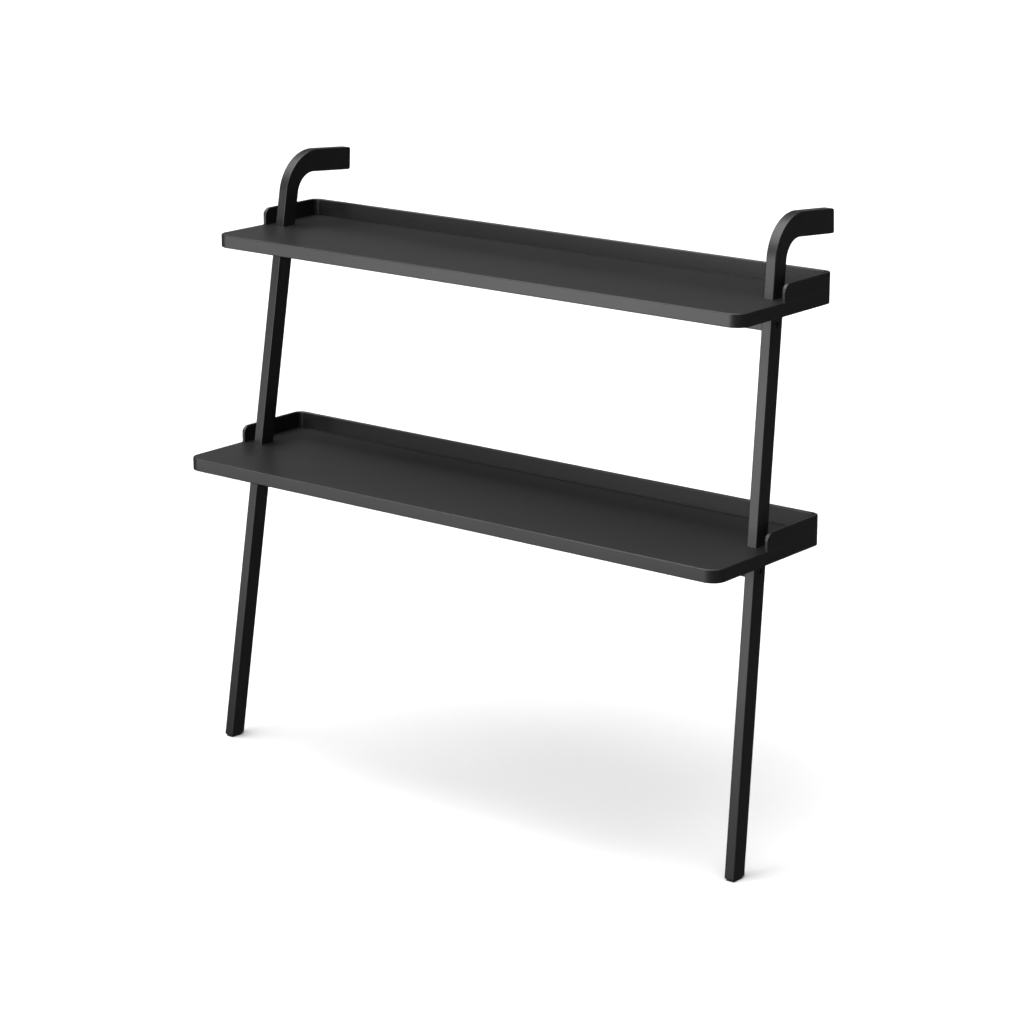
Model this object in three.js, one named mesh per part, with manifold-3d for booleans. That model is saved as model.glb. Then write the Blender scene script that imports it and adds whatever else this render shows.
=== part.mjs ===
// Desk hutch that leans on the wall: two bent uprights pass through two shelves.
// Millimetres. +X runs along the shelves, +Y points at the wall, +Z is up.
// The feet stand on z = 0 and the wall plane is at y = wallPlane.
import * as THREE from 'three';
import { mergeVertices } from 'three/addons/utils/BufferGeometryUtils.js';
import Module from 'manifold-3d';

const wasm = await Module();
wasm.setup();

// Driving dimensions
const wallPlane = 166.5;
const boardThickness = 20;
const frontCornerRadius = 22;
const edgeChamfer = 1;
const shelves = [
  { name: 'lower', length: 1000, depth: 260, front: -wallPlane, top: 476 },
  { name: 'upper', length: 976, depth: 230, front: -103, top: 819 },
];

const gallery = { height: 25.5, thickness: 6, backRadius: 14, frontRadius: 12, aheadOfLeg: 4 };

// The legs lean back and stand wider apart at the floor. Their outer face and front face
// are given at the height of the lower shelf top, which is where both tilts turn.
const leg = {
  width: 16.8,
  depth: 27.5,
  outerX: 478.4,
  frontY: -38.8,
  pivotZ: 475,
  leanDegrees: 7.8,
  splayDegrees: 2.12,
  chamfer: 1.2,
};
const arm = {
  topZ: 931.6,
  height: 35.4,
  dropDegrees: 4.75,
  outerBend: 68,
  innerBend: 33,
  endRadius: 3.5,
};
const footPad = { thickness: 2.5, inset: 2 };
const wallPad = { thickness: 2, inset: 3 };

const rail = { thickness: 14, height: 26 };
const bolt = {
  drop: 15,
  headRadius: 3.5,
  headLength: 3.4,
  sunk: 2,
  shankRadius: 2.5,
  length: 36,
  keyFlat: 3,
  keyDepth: 2,
};
const barrelNut = { radius: 4, length: 12, fromLegFace: 15 };
const dowel = { radius: 3, inLeg: 9, inRail: 15, drop: 6 };
const screw = {
  headRadius: 3.6,
  headLength: 3,
  shankRadius: 1.8,
  length: 38,
  tip: 4,
  sunk: 0.4,
  slotWidth: 1,
  slotDepth: 1.2,
  spacing: 330,
};

const gap = 0.3;
const roundSteps = 28;

const tanLean = Math.tan(THREE.MathUtils.degToRad(leg.leanDegrees));
const splay = THREE.MathUtils.degToRad(leg.splayDegrees);

const finishes = {
  lacquer: { color: 0x17161a, roughness: 0.5, metalness: 0 },
  hardware: { color: 0xa98f55, roughness: 0.35, metalness: 1 },
  steel: { color: 0x8d8f92, roughness: 0.4, metalness: 1 },
  rubber: { color: 0x1c1c1c, roughness: 0.9, metalness: 0 },
  beech: { color: 0xc79f6d, roughness: 0.7, metalness: 0 },
};

const group = new THREE.Group();
group.name = 'desk_hutch';

function addPiece(name, geometry, finish) {
  const piece = new THREE.Mesh(geometry, new THREE.MeshStandardMaterial(finishes[finish]));
  piece.name = name;
  group.add(piece);
}

// Closed solid for cutting and joining
function solidOf(geometry) {
  const bare = geometry.clone();
  bare.deleteAttribute('normal');
  bare.deleteAttribute('uv');
  const welded = mergeVertices(bare, 1e-4);
  return new wasm.Manifold(new wasm.Mesh({
    numProp: 3,
    vertProperties: new Float32Array(welded.attributes.position.array),
    triVerts: new Uint32Array(welded.index.array),
  }));
}

function geometryOf(solid) {
  const mesh = solid.getMesh();
  const geometry = new THREE.BufferGeometry();
  geometry.setAttribute('position', new THREE.BufferAttribute(mesh.vertProperties, 3));
  geometry.setIndex(new THREE.BufferAttribute(mesh.triVerts, 1));
  return geometry;
}

// Closed outline through corners [u, v, radius], each turned with its own radius
function outline(corners) {
  const points = [];
  corners.forEach(([u, v, radius], i) => {
    const corner = new THREE.Vector2(u, v);
    if (!radius) {
      points.push(corner);
      return;
    }
    const [beforeU, beforeV] = corners.at(i - 1);
    const [afterU, afterV] = corners[(i + 1) % corners.length];
    const toBefore = new THREE.Vector2(beforeU, beforeV).sub(corner).normalize();
    const toAfter = new THREE.Vector2(afterU, afterV).sub(corner).normalize();
    const half = Math.acos(toBefore.dot(toAfter)) / 2;
    const middle = toBefore.clone().add(toAfter).normalize();
    const centre = corner.clone().addScaledVector(middle, radius / Math.sin(half));
    const tangent = radius / Math.tan(half);
    const start = corner.clone().addScaledVector(toBefore, tangent).sub(centre).angle();
    const end = corner.clone().addScaledVector(toAfter, tangent).sub(centre).angle();
    const sweep = Math.atan2(Math.sin(end - start), Math.cos(end - start));
    const steps = Math.max(5, Math.round(radius / 3));
    for (let step = 0; step <= steps; step += 1) {
      const angle = start + (sweep * step) / steps;
      points.push(new THREE.Vector2(radius * Math.cos(angle), radius * Math.sin(angle)).add(centre));
    }
  });
  return new THREE.Shape(points);
}

// Outline pushed to a thickness, with its rims chamfered inside the outline
function slab(shape, thickness, chamfer = 0) {
  return new THREE.ExtrudeGeometry(shape, {
    depth: thickness - 2 * chamfer,
    bevelEnabled: chamfer > 0,
    bevelThickness: chamfer,
    bevelSize: chamfer,
    bevelOffset: -chamfer,
    bevelSegments: 2,
    steps: 1,
  }).translate(0, 0, chamfer);
}

// Turns a slab drawn in (y, z) and pushed along its own depth so that the depth lies along +X
function layAlongX(geometry) {
  const cycle = new THREE.Matrix4().makeBasis(
    new THREE.Vector3(0, 1, 0),
    new THREE.Vector3(0, 0, 1),
    new THREE.Vector3(1, 0, 0),
  );
  return geometry.applyMatrix4(cycle);
}

function block(x, y, z) {
  const size = [x[1] - x[0], y[1] - y[0], z[1] - z[0]];
  return new THREE.BoxGeometry(...size)
    .translate((x[0] + x[1]) / 2, (y[0] + y[1]) / 2, (z[0] + z[1]) / 2);
}

// Round bar from [distance, radius] steps along +Z, starting and ending on its axis
function turned(steps) {
  const points = steps.map(([distance, radius]) => new THREE.Vector2(radius, distance));
  return new THREE.LatheGeometry(points, roundSteps).rotateX(Math.PI / 2);
}

function bar(radius, from, to) {
  return turned([[from, 0], [from, radius], [to, radius], [to, 0]]);
}

// Leg coordinates: x runs outwards from the leg's outer face, y is shared with the room,
// z is measured along the splayed leg from the pivot height. side is +1 right, -1 left.
function placeInLeg(geometry, side) {
  const turn = new THREE.Matrix4().makeRotationY(-side * splay);
  const shift = new THREE.Matrix4().makeTranslation(side * leg.outerX, 0, leg.pivotZ);
  return geometry.applyMatrix4(shift.multiply(turn));
}

// Bar drawn along +Z from the leg's outer face inwards
function placeAcrossLeg(geometry, side, y, z) {
  return placeInLeg(geometry.rotateY(-side * Math.PI / 2).translate(0, y, z), side);
}

const legFrontAt = (z) => leg.frontY + z * tanLean;
const legDepthAlongY = leg.depth / Math.cos(THREE.MathUtils.degToRad(leg.leanDegrees));

// Side view of one bent upright, in (y, z) of the leg coordinates
function uprightOutline() {
  const fall = Math.tan(THREE.MathUtils.degToRad(arm.dropDegrees));
  const armHeightAlongZ = arm.height / Math.cos(THREE.MathUtils.degToRad(arm.dropDegrees));
  const armStart = legFrontAt(arm.topZ - leg.pivotZ) + arm.outerBend;
  const armTopAt = (y) => arm.topZ - leg.pivotZ - (y - armStart) * fall;
  const armUnderAt = (y) => armTopAt(y) - armHeightAlongZ;
  const meet = (lineAt, offset) => {
    const y = legFrontAt(0) + offset;
    return (y + tanLean * lineAt(0)) / (1 + tanLean * fall);
  };
  const outerY = meet(armTopAt, 0);
  const innerY = meet(armUnderAt, legDepthAlongY);
  const endY = wallPlane - wallPad.thickness;
  const below = -leg.pivotZ - 20;
  return outline([
    [legFrontAt(below), below, 0],
    [legFrontAt(below) + legDepthAlongY, below, 0],
    [innerY, armUnderAt(innerY), arm.innerBend],
    [endY, armUnderAt(endY), arm.endRadius],
    [endY, armTopAt(endY), arm.endRadius],
    [outerY, armTopAt(outerY), arm.outerBend],
  ]);
}

// Straight stretch of the leg, grown by a clearance on every side
function legEnvelope(side, clearance, reach = 0) {
  const grow = clearance / Math.cos(THREE.MathUtils.degToRad(leg.leanDegrees));
  const low = -leg.pivotZ;
  const high = 400;
  const shape = outline([
    [legFrontAt(low) - grow, low, 0],
    [legFrontAt(low) + legDepthAlongY + grow, low, 0],
    [legFrontAt(high) + legDepthAlongY + grow, high, 0],
    [legFrontAt(high) - grow, high, 0],
  ]);
  const width = leg.width + 2 * clearance + reach;
  const inner = side > 0 ? -leg.width - clearance : -clearance - reach;
  return placeInLeg(layAlongX(slab(shape, width)).translate(inner, 0, 0), side);
}

// Middle of the leg's depth at the height of the rail's bolt; the rail is centred on it
const boltCentre = (shelf) => {
  const z = shelf.top - boardThickness - bolt.drop - leg.pivotZ;
  return { y: legFrontAt(z) + legDepthAlongY / 2, z };
};

const dowelHeight = (shelf) => boltCentre(shelf).z + bolt.drop - dowel.drop;

function boltHole(shelf, side, radius, from, to) {
  const { y, z } = boltCentre(shelf);
  return solidOf(placeAcrossLeg(bar(radius, from, to), side, y, z));
}

function addUpright(name, side) {
  const start = side > 0 ? -leg.width : 0;
  const shape = layAlongX(slab(uprightOutline(), leg.width, leg.chamfer)).translate(start, 0, 0);
  let upright = solidOf(placeInLeg(shape, side));
  upright = upright.subtract(solidOf(block([-600, 600], [-400, 400], [-60, footPad.thickness])));
  for (const shelf of shelves) {
    const { y } = boltCentre(shelf);
    const dowelHole = bar(dowel.radius + gap, leg.width - dowel.inLeg - gap, leg.width + 5);
    upright = upright
      .subtract(boltHole(shelf, side, bolt.headRadius + gap, -2, bolt.sunk + bolt.headLength + gap))
      .subtract(boltHole(shelf, side, bolt.shankRadius + gap, 0, leg.width + 5))
      .subtract(solidOf(placeAcrossLeg(dowelHole, side, y, dowelHeight(shelf))));
  }
  addPiece(name, geometryOf(upright), 'lacquer');
}

function addPads(name, side) {
  const z = footPad.thickness - leg.pivotZ;
  const outer = side * (leg.outerX - z * Math.tan(splay) - footPad.inset);
  const inner = outer - side * (leg.width - 2 * footPad.inset);
  const front = legFrontAt(z) + footPad.inset;
  const back = legFrontAt(z) + legDepthAlongY - footPad.inset;
  const corners = (u, v) => outline([
    [u[0], v[0], 2], [u[1], v[0], 2], [u[1], v[1], 2], [u[0], v[1], 2],
  ]);
  const foot = corners([Math.min(inner, outer), Math.max(inner, outer)], [front, back]);
  addPiece(`${name}_foot_pad`, slab(foot, footPad.thickness), 'rubber');

  const end = wallPlane - wallPad.thickness;
  const fall = Math.tan(THREE.MathUtils.degToRad(arm.dropDegrees));
  const armStart = legFrontAt(arm.topZ - leg.pivotZ) + arm.outerBend;
  const top = arm.topZ - leg.pivotZ - (end - armStart) * fall - wallPad.inset;
  const bottom = top - arm.height + 2 * wallPad.inset;
  const across = [wallPad.inset, leg.width - wallPad.inset]
    .map((x) => -side * x)
    .sort((a, b) => a - b);
  const wall = slab(corners(across, [bottom, top]), wallPad.thickness)
    .rotateX(Math.PI / 2)
    .translate(0, wallPlane, 0);
  addPiece(`${name}_wall_pad`, placeInLeg(wall, side), 'rubber');
}

const screwPlaces = [-screw.spacing, 0, screw.spacing];

function screwShape(clearance) {
  return turned([
    [0, 0],
    [0, screw.headRadius + clearance],
    [screw.headLength + clearance, screw.shankRadius + clearance],
    [screw.length - screw.tip, screw.shankRadius + clearance],
    [screw.length + clearance, 0],
  ]);
}

function addShelf(shelf) {
  const half = shelf.length / 2;
  const back = shelf.front + shelf.depth;
  const bottom = shelf.top - boardThickness;
  const wallFront = legFrontAt(shelf.top - leg.pivotZ) - gallery.aheadOfLeg;
  const railMiddle = boltCentre(shelf).y;
  const railFront = railMiddle - rail.thickness / 2;
  const railBottom = bottom - rail.height;
  const screwSolids = screwPlaces.map((x) => (
    solidOf(screwShape(gap).translate(x, railMiddle, railBottom + screw.sunk))
  ));

  // Board: the free front edge is chamfered, the edge under the gallery is left square
  const plan = outline([
    [-half, shelf.front, frontCornerRadius],
    [half, shelf.front, frontCornerRadius],
    [half, back, gallery.backRadius],
    [-half, back, gallery.backRadius],
  ]);
  const square = solidOf(slab(plan, boardThickness).translate(0, 0, bottom));
  const rearPart = solidOf(block([-600, 600], [wallFront, 400], [bottom + 3, shelf.top + 10]));
  let board = solidOf(slab(plan, boardThickness, edgeChamfer).translate(0, 0, bottom));
  board = board.add(square.intersect(rearPart));
  for (const side of [1, -1]) {
    board = board.subtract(solidOf(legEnvelope(side, gap + 0.1)));
  }
  for (const hole of screwSolids) {
    board = board.subtract(hole);
  }
  addPiece(`${shelf.name}_shelf_board`, geometryOf(board), 'lacquer');

  // Gallery: one strip bent round the two back corners, standing flush with the board edge
  const inner = half - gallery.thickness;
  const innerRadius = gallery.backRadius - gallery.thickness;
  const strip = outline([
    [-half, wallFront, 0],
    [-inner, wallFront, 0],
    [-inner, back - gallery.thickness, innerRadius],
    [inner, back - gallery.thickness, innerRadius],
    [inner, wallFront, 0],
    [half, wallFront, 0],
    [half, back, gallery.backRadius],
    [-half, back, gallery.backRadius],
  ]);
  const sideView = outline([
    [wallFront, shelf.top, 0],
    [back, shelf.top, 0],
    [back, shelf.top + gallery.height, 0],
    [wallFront, shelf.top + gallery.height, gallery.frontRadius],
  ]);
  const bent = solidOf(slab(strip, gallery.height).translate(0, 0, shelf.top));
  const trimmed = bent.intersect(solidOf(layAlongX(slab(sideView, 1200)).translate(-600, 0, 0)));
  addPiece(`${shelf.name}_gallery`, geometryOf(trimmed), 'lacquer');

  // Rail under the board, between the legs
  let beam = solidOf(block([-half, half], [railFront, railFront + rail.thickness], [railBottom, bottom]));
  for (const side of [1, -1]) {
    const dowelHole = bar(dowel.radius + gap, leg.width - 5, leg.width + dowel.inRail + gap);
    const nutHole = bar(barrelNut.radius + gap, 0, rail.thickness + 2);
    beam = beam
      .subtract(solidOf(legEnvelope(side, gap, 60)))
      .subtract(boltHole(shelf, side, bolt.shankRadius + gap, 5, bolt.sunk + bolt.length + 3))
      .subtract(solidOf(placeAcrossLeg(dowelHole, side, railMiddle, dowelHeight(shelf))))
      .subtract(solidOf(placeNut(nutHole, shelf, side, railFront + 1)));
  }
  for (const hole of screwSolids) {
    beam = beam.subtract(hole);
  }
  const mouth = bar(screw.headRadius + gap, -1, screw.sunk + gap / 2);
  for (const x of screwPlaces) {
    beam = beam.subtract(solidOf(mouth.clone().translate(x, railMiddle, railBottom)));
  }
  addPiece(`${shelf.name}_rail`, geometryOf(beam), 'lacquer');

  screwPlaces.forEach((x, i) => {
    const head = railBottom + screw.sunk;
    const slot = block(
      [x - screw.slotWidth / 2, x + screw.slotWidth / 2],
      [railMiddle - screw.headRadius - 1, railMiddle + screw.headRadius + 1],
      [head - 1, head + screw.slotDepth],
    );
    const cut = solidOf(screwShape(0).translate(x, railMiddle, head)).subtract(solidOf(slot));
    addPiece(`${shelf.name}_board_screw_${i + 1}`, geometryOf(cut), 'steel');
  });
}

// Bar drawn along +Z, laid along +Y through the middle of the barrel nut
function placeNut(geometry, shelf, side, startY) {
  const { z } = boltCentre(shelf);
  const x = -side * (leg.width + barrelNut.fromLegFace);
  return placeInLeg(geometry.rotateX(-Math.PI / 2).translate(x, startY, z), side);
}

function addJoint(shelf, sideName, side) {
  const { y, z } = boltCentre(shelf);
  const shank = turned([
    [bolt.sunk, 0],
    [bolt.sunk, bolt.headRadius],
    [bolt.sunk + bolt.headLength, bolt.headRadius],
    [bolt.sunk + bolt.headLength, bolt.shankRadius],
    [bolt.length - 1, bolt.shankRadius],
    [bolt.length, bolt.shankRadius - 0.8],
    [bolt.length, 0],
  ]);
  const keyRadius = bolt.keyFlat / Math.sqrt(3);
  const key = new THREE.CylinderGeometry(keyRadius, keyRadius, 2 * bolt.keyDepth, 6)
    .rotateX(Math.PI / 2)
    .translate(0, 0, bolt.sunk);
  const screwIn = solidOf(shank).subtract(solidOf(key));
  addPiece(`${shelf.name}_${sideName}_bolt`, placeAcrossLeg(geometryOf(screwIn), side, y, z), 'hardware');

  const startY = y - barrelNut.length / 2 + 0.5;
  const blank = solidOf(placeNut(bar(barrelNut.radius, 0, barrelNut.length), shelf, side, startY));
  const nut = blank.subtract(boltHole(shelf, side, bolt.shankRadius + gap, 5, bolt.length + 12));
  addPiece(`${shelf.name}_${sideName}_barrel_nut`, geometryOf(nut), 'steel');

  const peg = turned([
    [leg.width - dowel.inLeg, 0],
    [leg.width - dowel.inLeg, dowel.radius - 0.7],
    [leg.width - dowel.inLeg + 0.7, dowel.radius],
    [leg.width + dowel.inRail - 0.7, dowel.radius],
    [leg.width + dowel.inRail, dowel.radius - 0.7],
    [leg.width + dowel.inRail, 0],
  ]);
  const placed = placeAcrossLeg(peg, side, y, dowelHeight(shelf));
  addPiece(`${shelf.name}_${sideName}_dowel`, placed, 'beech');
}

for (const [sideName, side] of [['left', -1], ['right', 1]]) {
  addUpright(`${sideName}_upright`, side);
  addPads(sideName, side);
}
for (const shelf of shelves) {
  addShelf(shelf);
  for (const [sideName, side] of [['left', -1], ['right', 1]]) {
    addJoint(shelf, sideName, side);
  }
}

export default group;
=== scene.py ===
"""Looks of the leaning desk hutch: bent uprights, two shelves with galleries, rails and fittings."""

import math

import bmesh
import bpy
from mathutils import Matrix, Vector


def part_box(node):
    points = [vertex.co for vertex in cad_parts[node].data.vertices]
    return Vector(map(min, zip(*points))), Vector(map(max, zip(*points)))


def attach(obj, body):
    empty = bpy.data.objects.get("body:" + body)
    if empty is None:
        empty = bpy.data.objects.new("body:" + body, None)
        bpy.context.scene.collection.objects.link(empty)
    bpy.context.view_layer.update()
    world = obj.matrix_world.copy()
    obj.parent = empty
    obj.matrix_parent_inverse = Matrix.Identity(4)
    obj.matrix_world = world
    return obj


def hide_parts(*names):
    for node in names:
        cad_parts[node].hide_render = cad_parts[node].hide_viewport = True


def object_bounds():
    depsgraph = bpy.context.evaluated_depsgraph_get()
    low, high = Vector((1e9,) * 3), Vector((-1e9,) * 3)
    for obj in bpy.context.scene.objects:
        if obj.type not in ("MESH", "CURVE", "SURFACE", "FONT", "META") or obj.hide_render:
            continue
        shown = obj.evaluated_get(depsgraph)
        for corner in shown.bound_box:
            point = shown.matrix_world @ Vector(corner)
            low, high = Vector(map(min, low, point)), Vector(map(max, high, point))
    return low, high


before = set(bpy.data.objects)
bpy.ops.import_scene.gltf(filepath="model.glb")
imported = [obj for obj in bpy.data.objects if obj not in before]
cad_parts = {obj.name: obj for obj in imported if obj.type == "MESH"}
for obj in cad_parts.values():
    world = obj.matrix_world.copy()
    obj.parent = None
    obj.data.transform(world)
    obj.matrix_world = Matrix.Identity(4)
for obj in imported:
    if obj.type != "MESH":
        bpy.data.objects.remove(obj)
cad_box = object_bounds()

MM = 0.001
SHELVES = ("lower", "upper")
SIDES = {"left": -1, "right": 1}
SCREW_NUMBERS = (1, 2, 3)

# The uprights' own shape; where they stand comes from the frame
LEG_WIDTH = 16.8 * MM
LEG_DEPTH = 27.5 * MM
LEAN = math.radians(7.8)
SPLAY = math.radians(2.12)
ARM_HEIGHT = 35.4 * MM
ARM_DROP = math.radians(4.75)
OUTER_BEND = 68 * MM
INNER_BEND = 33 * MM
LEG_ROUND = 1.8 * MM
ARM_END_ROUND = 3.5 * MM
FOOT_ROUND = 2.2 * MM

FRONT_CORNER = 22 * MM
BACK_CORNER = 14 * MM
BOARD_ROUND = 1.6 * MM
# The board's rounded upper edge runs out over this length before it meets the gallery
ROUND_RUNOUT = 0.6 * MM
GALLERY_THICKNESS = 6 * MM
GALLERY_ROUND = 1.8 * MM
GALLERY_FRONT = 12 * MM
RAIL_ROUND = 1.0 * MM

SLOT_CLEARANCE = 0.4 * MM
RAIL_CLEARANCE = 0.3 * MM
HEAD_CLEARANCE = 0.3 * MM
NUT_CLEARANCE = 0.25 * MM
BOLT_POCKET = 5.7 * MM
# How far the pocket for a wood screw's head goes past the head's lowest face
SCREW_POCKET = 1.2 * MM
# How far a cutter sticks out of the piece it cuts
DRILL_OVERRUN = 5 * MM
CUTTER_OVERRUN = 10 * MM
# Places nearer than this count as the same
TOUCH = 0.1 * MM

# How finely curved shapes are divided
ARC_STEP = 1.5 * MM
FEWEST_ARC_STEPS = 6
EDGE_STEPS = 5
GALLERY_FRONT_STEPS = 14
GALLERY_CORNER_STEPS = 12
DRILL_SIDES = 48

PIECE_SHARP_ANGLE = math.radians(32)
FLAT_FACE_WEIGHT = 80
FITTING_SHARP_ANGLE = math.radians(35)
FITTING_BEVEL = 0.25 * MM
FITTING_BEVEL_ANGLE = math.radians(50)


# ---------------------------------------------------------------- shapes

def turned_corner(before, corner, after, radius, steps):
    """Points of the arc that turns one corner of an outline."""
    to_before = (before - corner).normalized()
    to_after = (after - corner).normalized()
    half = math.acos(max(-1.0, min(1.0, to_before.dot(to_after)))) / 2
    centre = corner + (to_before + to_after).normalized() * (radius / math.sin(half))
    tangent = radius / math.tan(half)
    first = corner + to_before * tangent - centre
    last = corner + to_after * tangent - centre
    start = math.atan2(first.y, first.x)
    sweep = math.atan2(last.y, last.x) - start
    sweep = math.atan2(math.sin(sweep), math.cos(sweep))
    angles = [start + sweep * i / steps for i in range(steps + 1)]
    return [centre + Vector((math.cos(a), math.sin(a))) * radius for a in angles]


def outline(corners):
    """Closed outline through (u, v, radius) corners."""
    points = []
    for i, (u, v, radius) in enumerate(corners):
        corner = Vector((u, v))
        if radius == 0:
            points.append(corner)
            continue
        before = Vector(corners[i - 1][:2])
        after = Vector(corners[(i + 1) % len(corners)][:2])
        steps = max(FEWEST_ARC_STEPS, round(radius / ARC_STEP))
        points += turned_corner(before, corner, after, radius, steps)
    return points


def pulled_in(points, distances):
    """The outline with each point moved inwards by its own distance; the outline runs anticlockwise."""
    # Keeps a point at a very sharp turn from moving too far
    least_share = 0.5
    moved = []
    for i, point in enumerate(points):
        along_in = (point - points[i - 1]).normalized()
        along_out = (points[(i + 1) % len(points)] - point).normalized()
        normal_in = Vector((-along_in.y, along_in.x))
        normal_out = Vector((-along_out.y, along_out.x))
        middle = (normal_in + normal_out).normalized()
        moved.append(point + middle * (distances[i] / max(least_share, middle.dot(normal_in))))
    return moved


def rounded_levels(low, high, radius):
    """(level, inset) pairs that round the lower and the upper rim of a slab."""
    levels = []
    for i in range(EDGE_STEPS + 1):
        angle = math.pi / 2 * i / EDGE_STEPS
        levels.append((low + radius * (1 - math.sin(angle)), radius * (1 - math.cos(angle))))
    levels.reverse()
    upper = [(high - (level - low), inset) for level, inset in reversed(levels)]
    return levels + upper


def loft(name, rings):
    """Mesh object through equally long rings of points, closed with a face at each end."""
    mesh = bmesh.new()
    rows = [[mesh.verts.new(point) for point in ring] for ring in rings]
    count = len(rings[0])
    for lower, upper in zip(rows, rows[1:]):
        for i in range(count):
            j = (i + 1) % count
            mesh.faces.new((lower[i], lower[j], upper[j], upper[i]))
    mesh.faces.new(list(reversed(rows[0])))
    mesh.faces.new(rows[-1])
    bmesh.ops.recalc_face_normals(mesh, faces=mesh.faces)
    data = bpy.data.meshes.new(name)
    mesh.to_mesh(data)
    mesh.free()
    piece = bpy.data.objects.new(name, data)
    bpy.context.scene.collection.objects.link(piece)
    return piece


def rod(name, start, end, radius):
    """Plain round bar between two points, used as a drill."""
    axis = (end - start).normalized()
    across = axis.orthogonal().normalized()
    other = axis.cross(across)
    turns = [2 * math.pi * i / DRILL_SIDES for i in range(DRILL_SIDES)]
    rim = [(across * math.cos(t) + other * math.sin(t)) * radius for t in turns]
    return loft(name, [[start + r for r in rim], [end + r for r in rim]])


def cut(piece, cutters):
    """Takes the cutters out of the piece and removes them."""
    for cutter in cutters:
        step = piece.modifiers.new("cut", "BOOLEAN")
        step.operation = "DIFFERENCE"
        step.solver = "EXACT"
        step.object = cutter
    graph = bpy.context.evaluated_depsgraph_get()
    result = bpy.data.meshes.new_from_object(piece.evaluated_get(graph))
    piece.modifiers.clear()
    piece.data = result
    for cutter in cutters:
        bpy.data.objects.remove(cutter)


def soften(piece):
    """Smooth shading that keeps true edges sharp and broad faces flat."""
    piece.data.shade_smooth()
    piece.data.set_sharp_from_angle(angle=PIECE_SHARP_ANGLE)
    flat = piece.modifiers.new("flat_faces", "WEIGHTED_NORMAL")
    flat.keep_sharp = True
    flat.weight = FLAT_FACE_WEIGHT


# ---------------------------------------------------------------- materials

# How many times finer a pattern is along x, y and z; 1 is along the grain
EVEN = (1, 1, 1)
GRAIN_ALONG_SHELF = (1, 14, 14)
GRAIN_ALONG_LEG = (14, 10, 1)
DOWEL_GRAIN = (1, 9, 9)
DRAWN_LINES = (1, 1, 6)


class Nodes:
    """Short calls for building one material's node tree."""

    def __init__(self, name):
        self.material = bpy.data.materials.new(name)
        self.material.use_nodes = True
        self.tree = self.material.node_tree
        self.shader = self.tree.nodes["Principled BSDF"]

    def add(self, kind, **values):
        node = self.tree.nodes.new(kind)
        for key, value in values.items():
            setattr(node, key, value)
        return node

    def link(self, source, target):
        self.tree.links.new(source, target)

    def place(self, fineness):
        """Object coordinates in metres, multiplied by a fineness along each axis."""
        where = self.add("ShaderNodeTexCoord")
        mapping = self.add("ShaderNodeMapping")
        mapping.inputs["Scale"].default_value = fineness
        self.link(where.outputs["Object"], mapping.inputs["Vector"])
        return mapping.outputs["Vector"]

    def noise(self, vector, scale, detail=4.0, roughness=0.55):
        node = self.add("ShaderNodeTexNoise")
        node.inputs["Scale"].default_value = scale
        node.inputs["Detail"].default_value = detail
        node.inputs["Roughness"].default_value = roughness
        self.link(vector, node.inputs["Vector"])
        return node.outputs["Fac"]

    def ramp(self, factor, low, high, start=0.3, end=0.7):
        node = self.add("ShaderNodeValToRGB")
        node.color_ramp.elements[0].position = start
        node.color_ramp.elements[0].color = (*low, 1)
        node.color_ramp.elements[1].position = end
        node.color_ramp.elements[1].color = (*high, 1)
        self.link(factor, node.inputs["Fac"])
        return node.outputs["Color"]

    def span(self, factor, low, high):
        """Number from low to high as the middle half of the factor's range goes by."""
        node = self.add("ShaderNodeMapRange")
        node.inputs["From Min"].default_value = 0.25
        node.inputs["From Max"].default_value = 0.75
        node.inputs["To Min"].default_value = low
        node.inputs["To Max"].default_value = high
        self.link(factor, node.inputs["Value"])
        return node.outputs["Result"]

    def mix(self, factor, first, second):
        node = self.add("ShaderNodeMix", data_type="RGBA")
        self.link(factor, node.inputs["Factor"])
        self.link(first, node.inputs[6])
        self.link(second, node.inputs[7])
        return node.outputs[2]

    def bump(self, height, distance, strength, below=None):
        node = self.add("ShaderNodeBump")
        node.inputs["Distance"].default_value = distance
        node.inputs["Strength"].default_value = strength
        self.link(height, node.inputs["Height"])
        if below is not None:
            self.link(below, node.inputs["Normal"])
        return node.outputs["Normal"]

    def edges(self, radius):
        """One along rounded edges, where paler colour stands for wear and a painted highlight; zero on
        open faces.
        """
        # Agreement of the surface's own normal with the rounded one
        open_face = 0.995
        full_wear_and_highlight = 0.90
        rounded = self.add("ShaderNodeBevel", samples=6)
        rounded.inputs["Radius"].default_value = radius
        real = self.add("ShaderNodeNewGeometry")
        match = self.add("ShaderNodeVectorMath", operation="DOT_PRODUCT")
        self.link(rounded.outputs["Normal"], match.inputs[0])
        self.link(real.outputs["Normal"], match.inputs[1])
        turn = self.add("ShaderNodeMapRange")
        turn.inputs["From Min"].default_value = open_face
        turn.inputs["From Max"].default_value = full_wear_and_highlight
        self.link(match.outputs["Value"], turn.inputs["Value"])
        return turn.outputs["Result"]


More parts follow.
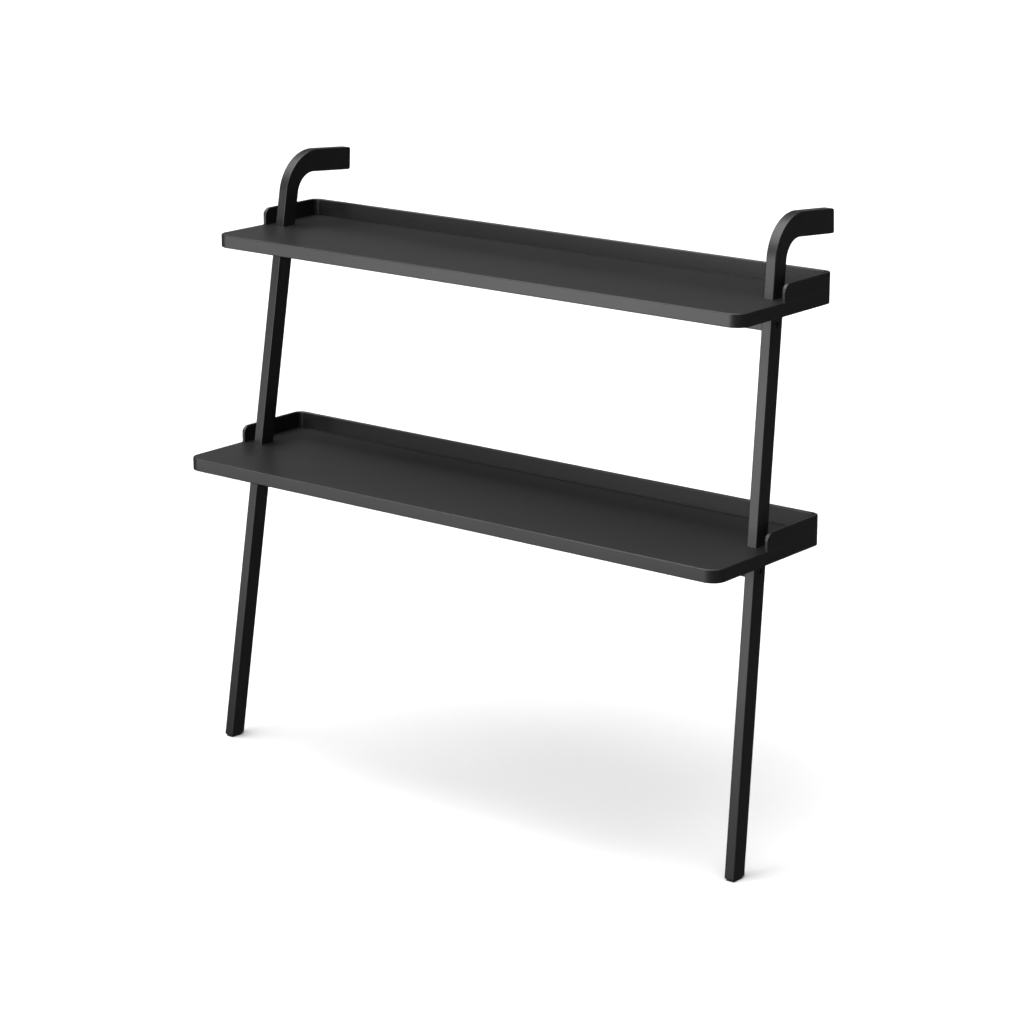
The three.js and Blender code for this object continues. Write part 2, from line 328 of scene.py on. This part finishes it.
def lacquer(name, fineness):
    """Satin black lacquer over wood: faint grain, sprayed texture and paler edges, partly wear and
    partly a painted highlight of the rounded arrises.
    """
    n = Nodes(name)
    grain_place = n.place(fineness)
    open_place = n.place(EVEN)
    grain = n.noise(grain_place, scale=60, detail=8, roughness=0.62)
    pores = n.noise(grain_place, scale=420, detail=3, roughness=0.5)
    cloud = n.noise(open_place, scale=5, detail=3, roughness=0.5)
    spray = n.noise(open_place, scale=900, detail=2, roughness=0.5)
    tone = n.ramp(
        grain, low=(0.0050, 0.0049, 0.0052), high=(0.0085, 0.0083, 0.0088), start=0.3, end=0.75)
    # Paler colour for the edges: partly wear, partly a painted highlight where the rounded edges would
    # catch the light
    wear_and_highlight = n.ramp(cloud, low=(0.014, 0.0137, 0.0142), high=(0.022, 0.0215, 0.022))
    n.link(n.mix(n.edges(radius=1.2 * MM), tone, wear_and_highlight), n.shader.inputs["Base Color"])

    cloud_share = 0.65
    blend = n.add("ShaderNodeMath", operation="MULTIPLY_ADD")
    blend.inputs[1].default_value = cloud_share
    grain_part = n.add("ShaderNodeMath", operation="MULTIPLY")
    grain_part.inputs[1].default_value = 1 - cloud_share
    n.link(cloud, blend.inputs[0])
    n.link(grain, grain_part.inputs[0])
    n.link(grain_part.outputs[0], blend.inputs[2])
    n.link(n.span(blend.outputs[0], low=0.40, high=0.52), n.shader.inputs["Roughness"])

    fine = n.bump(spray, distance=0.02 * MM, strength=0.25)
    fibres = n.bump(pores, distance=0.03 * MM, strength=0.35, below=fine)
    relief = n.bump(grain, distance=0.06 * MM, strength=0.45, below=fibres)
    n.link(relief, n.shader.inputs["Normal"])
    n.shader.inputs["Specular IOR Level"].default_value = 0.5
    n.shader.inputs["Coat Weight"].default_value = 0.25
    n.shader.inputs["Coat Roughness"].default_value = 0.3
    return n.material


def metal(name, low, high, roughness):
    """Plated steel with fine drawn lines and cloudy wear."""
    n = Nodes(name)
    lines = n.noise(n.place(DRAWN_LINES), scale=700, detail=4, roughness=0.6)
    cloud = n.noise(n.place(EVEN), scale=160, detail=4, roughness=0.6)
    n.link(n.ramp(cloud, low, high), n.shader.inputs["Base Color"])
    smoothest = roughness - 0.08
    roughest = roughness + 0.12
    n.link(n.span(lines, smoothest, roughest), n.shader.inputs["Roughness"])
    n.link(n.bump(lines, distance=0.02 * MM, strength=0.4), n.shader.inputs["Normal"])
    n.shader.inputs["Metallic"].default_value = 1.0
    return n.material


def rubber(name):
    """Dull dark rubber with a pebbled skin."""
    n = Nodes(name)
    dots = n.noise(n.place(EVEN), scale=1400, detail=3, roughness=0.6)
    cloud = n.noise(n.place(EVEN), scale=90, detail=3, roughness=0.5)
    colour = n.ramp(cloud, low=(0.016, 0.016, 0.016), high=(0.03, 0.03, 0.031))
    n.link(colour, n.shader.inputs["Base Color"])
    n.link(n.span(dots, low=0.75, high=0.95), n.shader.inputs["Roughness"])
    n.link(n.bump(dots, distance=0.08 * MM, strength=0.5), n.shader.inputs["Normal"])
    n.shader.inputs["Specular IOR Level"].default_value = 0.3
    return n.material


def bare_wood(name):
    """Unfinished pale wood with streaks along x."""
    n = Nodes(name)
    streaks = n.noise(n.place(DOWEL_GRAIN), scale=120, detail=6, roughness=0.6)
    colour = n.ramp(streaks, low=(0.42, 0.26, 0.13), high=(0.62, 0.42, 0.24))
    n.link(colour, n.shader.inputs["Base Color"])
    n.link(n.span(streaks, low=0.55, high=0.75), n.shader.inputs["Roughness"])
    n.link(n.bump(streaks, distance=0.1 * MM, strength=0.5), n.shader.inputs["Normal"])
    return n.material


SHELF_LACQUER = lacquer("lacquer_along_shelf", GRAIN_ALONG_SHELF)
LEG_LACQUER = lacquer("lacquer_along_leg", GRAIN_ALONG_LEG)
BRASS = metal("brass_plate", low=(0.50, 0.37, 0.14), high=(0.68, 0.53, 0.25), roughness=0.32)
STEEL = metal("zinc_plate", low=(0.42, 0.43, 0.44), high=(0.60, 0.61, 0.62), roughness=0.38)
RUBBER = rubber("pad_rubber")
BEECH = bare_wood("beech")


def paint(piece, material):
    """The piece in one material."""
    piece.data.materials.clear()
    piece.data.materials.append(material)


def finish_wood(piece, material, node_name):
    """Shading, lacquer and the frame's bookkeeping for a wooden piece."""
    soften(piece)
    paint(piece, material)
    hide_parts(node_name)
    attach(piece, "root")


# ---------------------------------------------------------------- uprights

class Leg:
    """Where one upright runs, taken from its CAD box."""

    def __init__(self, side_name):
        self.side = SIDES[side_name]
        low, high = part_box(f"{side_name}_upright")
        self.foot = low.z
        self.front_at_foot = low.y
        self.arm_end = high.y
        self.top = high.z
        self.outer_at_foot = high.x if self.side > 0 else -low.x
        self.depth = LEG_DEPTH / math.cos(LEAN)
        self.width = LEG_WIDTH / math.cos(SPLAY)

    def front(self, z):
        return self.front_at_foot + (z - self.foot) * math.tan(LEAN)

    def outer(self, z):
        return self.outer_at_foot - (z - self.foot) * math.tan(SPLAY)

    def at(self, inwards, y, z):
        """Point at a distance inwards from the outer face."""
        return Vector((self.side * (self.outer(z) - inwards), y, z))

    def side_view(self):
        """Outline of the bent upright in y and z."""
        fall = math.tan(ARM_DROP)
        height = ARM_HEIGHT / math.cos(ARM_DROP)
        # Middle of the outer bend, and the height of the arm's top line above it
        bend_y = self.front(self.top - OUTER_BEND) + OUTER_BEND / math.cos(LEAN)
        line_z = self.top + OUTER_BEND * (1 / math.cos(ARM_DROP) - 1)

        def arm_top(y):
            return line_z - (y - bend_y) * fall

        def meeting(offset, lowered):
            """y where the leg line, moved back by offset, meets the arm line moved down."""
            slope = math.tan(LEAN)
            base = self.front(0) + offset
            return (base + slope * (arm_top(0) - lowered)) / (1 + slope * fall)

        outer = meeting(0, 0)
        inner = meeting(self.depth, height)
        end = self.arm_end
        return outline([
            (self.front(self.foot), self.foot, FOOT_ROUND),
            (self.front(self.foot) + self.depth, self.foot, FOOT_ROUND),
            (inner, arm_top(inner) - height, INNER_BEND),
            (end, arm_top(end) - height, ARM_END_ROUND),
            (end, arm_top(end), ARM_END_ROUND),
            (outer, arm_top(outer), OUTER_BEND),
        ])

    def sleeve(self, name, low, high):
        """Slightly larger stretch of the leg, for the slot it passes through."""
        c = SLOT_CLEARANCE
        rings = []
        for z in (low, high):
            y0 = self.front(z) - c
            y1 = self.front(z) + self.depth + c
            rings.append([
                self.at(-c, y0, z),
                self.at(-c, y1, z),
                self.at(self.width + c, y1, z),
                self.at(self.width + c, y0, z),
            ])
        return loft(name, rings)


def make_upright(side_name):
    """Bent upright with a pocket for each bolt head; gives back where it runs."""
    leg = Leg(side_name)
    shape = leg.side_view()
    rings = []
    for inwards, inset in rounded_levels(0, leg.width, LEG_ROUND):
        ring = pulled_in(shape, [inset] * len(shape))
        rings.append([leg.at(inwards, p.x, p.y) for p in ring])
    piece = loft(f"{side_name}_upright_shaped", rings)
    drills = []
    for shelf in SHELVES:
        low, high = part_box(f"{shelf}_{side_name}_bolt")
        y = (low.y + high.y) / 2
        z = (low.z + high.z) / 2
        radius = (high.y - low.y) / 2 + HEAD_CLEARANCE
        outside = leg.at(-DRILL_OVERRUN, y, z)
        drills.append(rod("drill", outside, leg.at(BOLT_POCKET, y, z), radius))
    cut(piece, drills)
    finish_wood(piece, LEG_LACQUER, f"{side_name}_upright")
    return leg


# ---------------------------------------------------------------- shelves

def make_board(shelf, legs):
    """Board with rounded corners and edges, and a slot for each upright."""
    low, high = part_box(f"{shelf}_shelf_board")
    wall_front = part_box(f"{shelf}_gallery")[0].y
    shape = outline([
        (low.x, low.y, FRONT_CORNER),
        (high.x, low.y, FRONT_CORNER),
        (high.x, wall_front - ROUND_RUNOUT, 0),
        (high.x, wall_front, 0),
        (high.x, high.y, BACK_CORNER),
        (low.x, high.y, BACK_CORNER),
        (low.x, wall_front, 0),
        (low.x, wall_front - ROUND_RUNOUT, 0),
    ])
    middle = (low.z + high.z) / 2
    rings = []
    for z, inset in rounded_levels(low.z, high.z, BOARD_ROUND):
        under_gallery = 0 if z > middle else inset
        pulls = [inset if p.y < wall_front - TOUCH else under_gallery for p in shape]
        rings.append([Vector((p.x, p.y, z)) for p in pulled_in(shape, pulls)])
    piece = loft(f"{shelf}_board_shaped", rings)
    below = low.z - CUTTER_OVERRUN
    above = high.z + CUTTER_OVERRUN
    cut(piece, [leg.sleeve("slot", below, above) for leg in legs])
    finish_wood(piece, SHELF_LACQUER, f"{shelf}_shelf_board")


def eased(length, steps):
    """Distances from 0 to a length, closer together near 0."""
    return [length * (1 - math.cos(math.pi / 2 * i / steps)) for i in range(steps + 1)]


def shortfall(radius, reach):
    """How far a quarter round still is from its full height, at a distance from its free end."""
    missing = max(0.0, radius - reach)
    return radius - math.sqrt(max(0.0, radius ** 2 - missing ** 2))


def gallery_path(low, high):
    """Middle line of a gallery, as (point, distance from the nearer free end) pairs.

    From the bends on, that distance is given as endless, because the strip has its full height there.
    """
    half = GALLERY_THICKNESS / 2
    left = low.x + half
    right = high.x - half
    back = high.y - half
    reaches = eased(GALLERY_FRONT, GALLERY_FRONT_STEPS) + eased(GALLERY_ROUND, EDGE_STEPS)[:-1]
    path = [(Vector((left, low.y + reach)), reach) for reach in sorted(set(reaches))]
    bend = turned_corner(
        Vector((left, low.y)), Vector((left, back)), Vector((right, back)),
        BACK_CORNER - half, GALLERY_CORNER_STEPS)
    path += [(point, math.inf) for point in bend]
    mirrored = [(Vector((left + right - p.x, p.y)), reach) for p, reach in reversed(path)]
    return path + mirrored


def gallery_section(base, top, half_thickness):
    """Section of a gallery, as (distance outwards, z) pairs, with both upper edges rounded."""
    radius = min(GALLERY_ROUND, half_thickness)
    outer = [(half_thickness, base)]
    for i in range(EDGE_STEPS + 1):
        angle = math.pi / 2 * i / EDGE_STEPS
        across = half_thickness - radius + radius * math.cos(angle)
        outer.append((across, top - radius + radius * math.sin(angle)))
    inner = [(-across, z) for across, z in reversed(outer)]
    return outer + inner


def make_gallery(shelf):
    """Bent strip swept round the back corners; its ends are lower and turned over."""
    low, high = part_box(f"{shelf}_gallery")
    path = gallery_path(low, high)
    rings = []
    for i, (point, reach) in enumerate(path):
        before = path[max(0, i - 1)][0]
        after = path[min(len(path) - 1, i + 1)][0]
        along = (after - before).normalized()
        outwards = Vector((-along.y, along.x))
        top = high.z - shortfall(GALLERY_FRONT, reach)
        half_thickness = GALLERY_THICKNESS / 2 - shortfall(GALLERY_ROUND, reach)
        ring = []
        for across, z in gallery_section(low.z, top, half_thickness):
            place = point + outwards * across
            ring.append(Vector((place.x, place.y, z)))
        rings.append(ring)
    piece = loft(f"{shelf}_gallery_bent", rings)
    finish_wood(piece, SHELF_LACQUER, f"{shelf}_gallery")


def nut_drill(shelf, side_name, back):
    """Drill for a barrel nut's hole, which is open at the rail's back."""
    low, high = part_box(f"{shelf}_{side_name}_barrel_nut")
    x = (low.x + high.x) / 2
    z = (low.z + high.z) / 2
    radius = (high.x - low.x) / 2 + NUT_CLEARANCE
    return rod("drill", Vector((x, low.y, z)), Vector((x, back + CUTTER_OVERRUN, z)), radius)


def screw_drill(screw, bottom):
    """Drill for the pocket of a wood screw's head, which is open at the rail's bottom."""
    low, high = screw
    x = (low.x + high.x) / 2
    y = (low.y + high.y) / 2
    radius = (high.x - low.x) / 2 + HEAD_CLEARANCE
    start = Vector((x, y, bottom - CUTTER_OVERRUN))
    return rod("drill", start, Vector((x, y, low.z + SCREW_POCKET)), radius)


def make_rail(shelf, legs):
    """Rail between the uprights, with the nuts' holes and the wood screws' pockets."""
    low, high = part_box(f"{shelf}_rail")
    section = outline([
        (low.y, low.z, RAIL_ROUND),
        (high.y, low.z, RAIL_ROUND),
        (high.y, high.z, 0),
        (low.y, high.z, 0),
    ])
    rings = []
    for leg in legs:
        rings.append([leg.at(leg.width + RAIL_CLEARANCE, p.x, p.y) for p in section])
    piece = loft(f"{shelf}_rail_shaped", rings)
    drills = [nut_drill(shelf, side_name, high.y) for side_name in SIDES]
    for number in SCREW_NUMBERS:
        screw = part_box(f"{shelf}_board_screw_{number}")
        drills.append(screw_drill(screw, low.z))
    cut(piece, drills)
    finish_wood(piece, SHELF_LACQUER, f"{shelf}_rail")


uprights = [make_upright(name) for name in SIDES]
for shelf_name in SHELVES:
    make_board(shelf_name, uprights)
    make_gallery(shelf_name)
    make_rail(shelf_name, uprights)


# ---------------------------------------------------------------- fittings kept from the frame

KEPT = {
    "_bolt": BRASS,
    "_barrel_nut": STEEL,
    "_dowel": BEECH,
    "_pad": RUBBER,
}
for screw_number in SCREW_NUMBERS:
    KEPT[f"_screw_{screw_number}"] = STEEL


def finish_fitting(node, material):
    """Material, shading and slightly broken edges for a fitting of the frame's own."""
    paint(node, material)
    node.data.shade_smooth()
    node.data.set_sharp_from_angle(angle=FITTING_SHARP_ANGLE)
    rim = node.modifiers.new("soft_edges", "BEVEL")
    rim.width = FITTING_BEVEL
    rim.segments = 2
    rim.limit_method = "ANGLE"
    rim.angle_limit = FITTING_BEVEL_ANGLE


for fitting_name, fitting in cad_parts.items():
    for ending, kept_material in KEPT.items():
        if fitting_name.endswith(ending):
            finish_fitting(fitting, kept_material)


# ---------------------------------------------------------------- stage

UP = Vector((0, 0, 1))
FLOOR_SIZE = 30


def area_light(name, place, towards, size, power):
    """Soft panel at a place in metres, shining in a direction; the camera doesn't see it."""
    data = bpy.data.lights.new(name, "AREA")
    data.shape = "RECTANGLE"
    data.size, data.size_y = size
    data.energy = power
    lamp = bpy.data.objects.new(name, data)
    lamp.location = place
    lamp.rotation_euler = (-Vector(towards)).to_track_quat("Z", "Y").to_euler()
    lamp.visible_camera = False
    bpy.context.scene.collection.objects.link(lamp)


def direction(azimuth, elevation=0):
    """Unit vector from the object outwards; azimuth 0 is its front, positive to its right."""
    az = math.radians(azimuth)
    el = math.radians(elevation)
    return Vector((math.sin(az) * math.cos(el), -math.cos(az) * math.cos(el), math.sin(el)))


def around(azimuth, distance, elevation=0, height=0):
    """Place at a distance from the object's middle on the floor, raised by a height."""
    return direction(azimuth, elevation) * distance + UP * height


def make_floor():
    """Pale, dull floor, which doesn't show in the object's gloss."""
    bpy.ops.mesh.primitive_plane_add(size=FLOOR_SIZE, location=(0, 0, cad_box[0].z))
    floor = bpy.context.object
    floor.name = "floor"
    n = Nodes("pale_floor")
    cloud = n.noise(n.place(EVEN), scale=2.0, detail=2, roughness=0.5)
    colour = n.ramp(cloud, low=(0.86, 0.86, 0.86), high=(0.88, 0.88, 0.88))
    n.link(colour, n.shader.inputs["Base Color"])
    n.shader.inputs["Roughness"].default_value = 0.9
    n.shader.inputs["Specular IOR Level"].default_value = 0.1
    paint(floor, n.material)
    floor.visible_glossy = False


def make_sun(elevation, azimuth, spread, strength):
    """Wide even light from above, which keeps the floor white."""
    data = bpy.data.lights.new("overhead", "SUN")
    data.energy = strength
    data.angle = math.radians(spread)
    lamp = bpy.data.objects.new("overhead", data)
    lamp.rotation_euler = (math.radians(90 - elevation), 0, math.radians(azimuth))
    bpy.context.scene.collection.objects.link(lamp)


def make_world(seen, cast):
    """White backdrop, as bright as seen for the camera and as dim as cast for the object."""
    world = bpy.data.worlds.new("studio")
    world.use_nodes = True
    tree = world.node_tree
    background = tree.nodes["Background"]
    background.inputs["Color"].default_value = (1.0, 1.0, 1.0, 1)
    ray = tree.nodes.new("ShaderNodeLightPath")
    strength = tree.nodes.new("ShaderNodeMapRange")
    strength.inputs["To Min"].default_value = cast
    strength.inputs["To Max"].default_value = seen
    tree.links.new(ray.outputs["Is Camera Ray"], strength.inputs["Value"])
    tree.links.new(strength.outputs["Result"], background.inputs["Strength"])
    bpy.context.scene.world = world


def make_panels():
    """Panels that give the front faces and the shelf tops their sheen."""
    area_light(
        "floor_card",
        place=around(azimuth=-36, distance=3.6, height=0.01),
        towards=UP,
        size=(3.0, 2.6),
        power=124,
    )
    area_light(
        "low_panel",
        place=around(azimuth=-14, distance=3.8, height=0.9),
        towards=-direction(-14, 8),
        size=(2.0, 1.2),
        power=58,
    )
    area_light(
        "back_panel",
        place=around(azimuth=-142, distance=4.2, elevation=18),
        towards=-direction(-142, 18),
        size=(3.2, 0.9),
        power=2.5,
    )


make_floor()
make_world(seen=1.0, cast=0.06)
make_sun(elevation=72, azimuth=-24, spread=80, strength=5.2)
make_panels()

# Camera at the angle the object is shown from: azimuth, elevation and distance from the aim point
CAMERA_AZIMUTH = 38.49
CAMERA_ELEVATION = 15.56
CAMERA_DISTANCE = 4.686
CAMERA_LENS = 107.06
CAMERA_SENSOR = 36
AIM = Vector((-0.0624, 0.0944, 0.4059))
camera_data = bpy.data.cameras.new("camera")
camera_data.lens = CAMERA_LENS
camera_data.sensor_width = CAMERA_SENSOR
camera = bpy.data.objects.new("camera", camera_data)
bpy.context.scene.collection.objects.link(camera)
bpy.context.scene.camera = camera
camera.location = AIM + direction(CAMERA_AZIMUTH, CAMERA_ELEVATION) * CAMERA_DISTANCE
camera.rotation_euler = (math.radians(90 - CAMERA_ELEVATION), 0, math.radians(CAMERA_AZIMUTH))

bpy.context.scene.view_settings.view_transform = "Standard"
bpy.context.scene.view_settings.look = "None"
